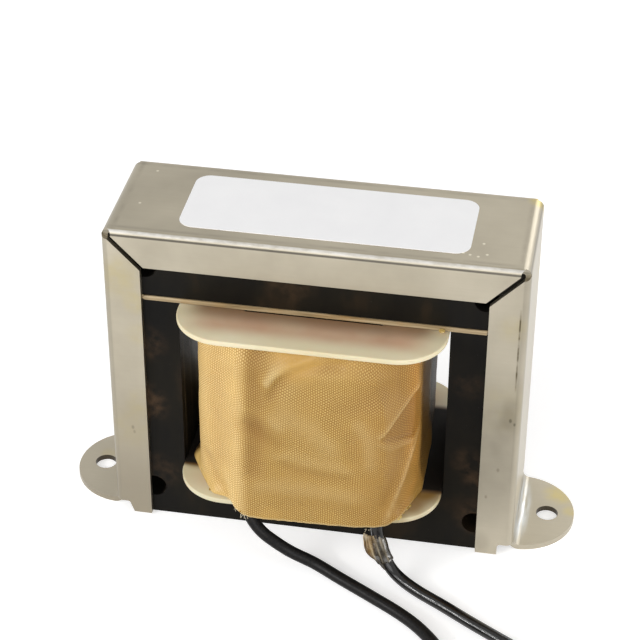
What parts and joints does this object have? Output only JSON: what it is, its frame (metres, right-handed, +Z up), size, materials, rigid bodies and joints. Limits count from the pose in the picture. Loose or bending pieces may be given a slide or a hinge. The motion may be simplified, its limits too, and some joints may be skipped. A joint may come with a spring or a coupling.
{
  "type": "dc reactor",
  "caption": "Open-frame dc reactor: a laminated iron core in a folded channel bracket, with a taped coil on a bobbin and two insulated wire leads.",
  "frame": {"origin": "on the mounting plane, midway between the two mounting holes in the bracket's feet", "axes": "+Z up, away from the mounting plane; +X along the bracket, through both mounting holes; -Y towards the face that the leads come out of"},
  "size_m": [0.1353, 0.1136, 0.0742],
  "materials": {
    "bracket_steel": "satin, lightly varnished",
    "core_varnish": "satin",
    "spacer_board": "varnished",
    "bobbin_nylon": "satin",
    "magnet_wire": "enamelled",
    "film": "satin",
    "cloth_tape": "varnished weave",
    "pad_board": "matte",
    "tinned_wire": "satin",
    "lead_jacket": "semi-gloss",
    "varnish_sleeve": "glossy, translucent",
    "label_face": "satin"
  },
  "bodies": {
    "root": {"channel_bracket": "bracket_steel", "e_stack": "core_varnish", "i_stack": "core_varnish", "gap_spacer": "spacer_board", "bobbin": "bobbin_nylon", "winding": "magnet_wire", "inner_wrap": "film", "outer_wrap": "cloth_tape", "lead_pad": "pad_board", "splice_left": "tinned_wire", "splice_right": "tinned_wire", "splice_cover_left": "film", "splice_cover_right": "film", "lead_left": "lead_jacket", "lead_right": "lead_jacket", "lead_left_coil": "lead_jacket", "lead_right_coil": "lead_jacket", "lead_left_tip": "tinned_wire", "lead_right_tip": "tinned_wire", "lead_sleeve": "varnish_sleeve", "label": "label_face"}
  },
  "joints": []
}
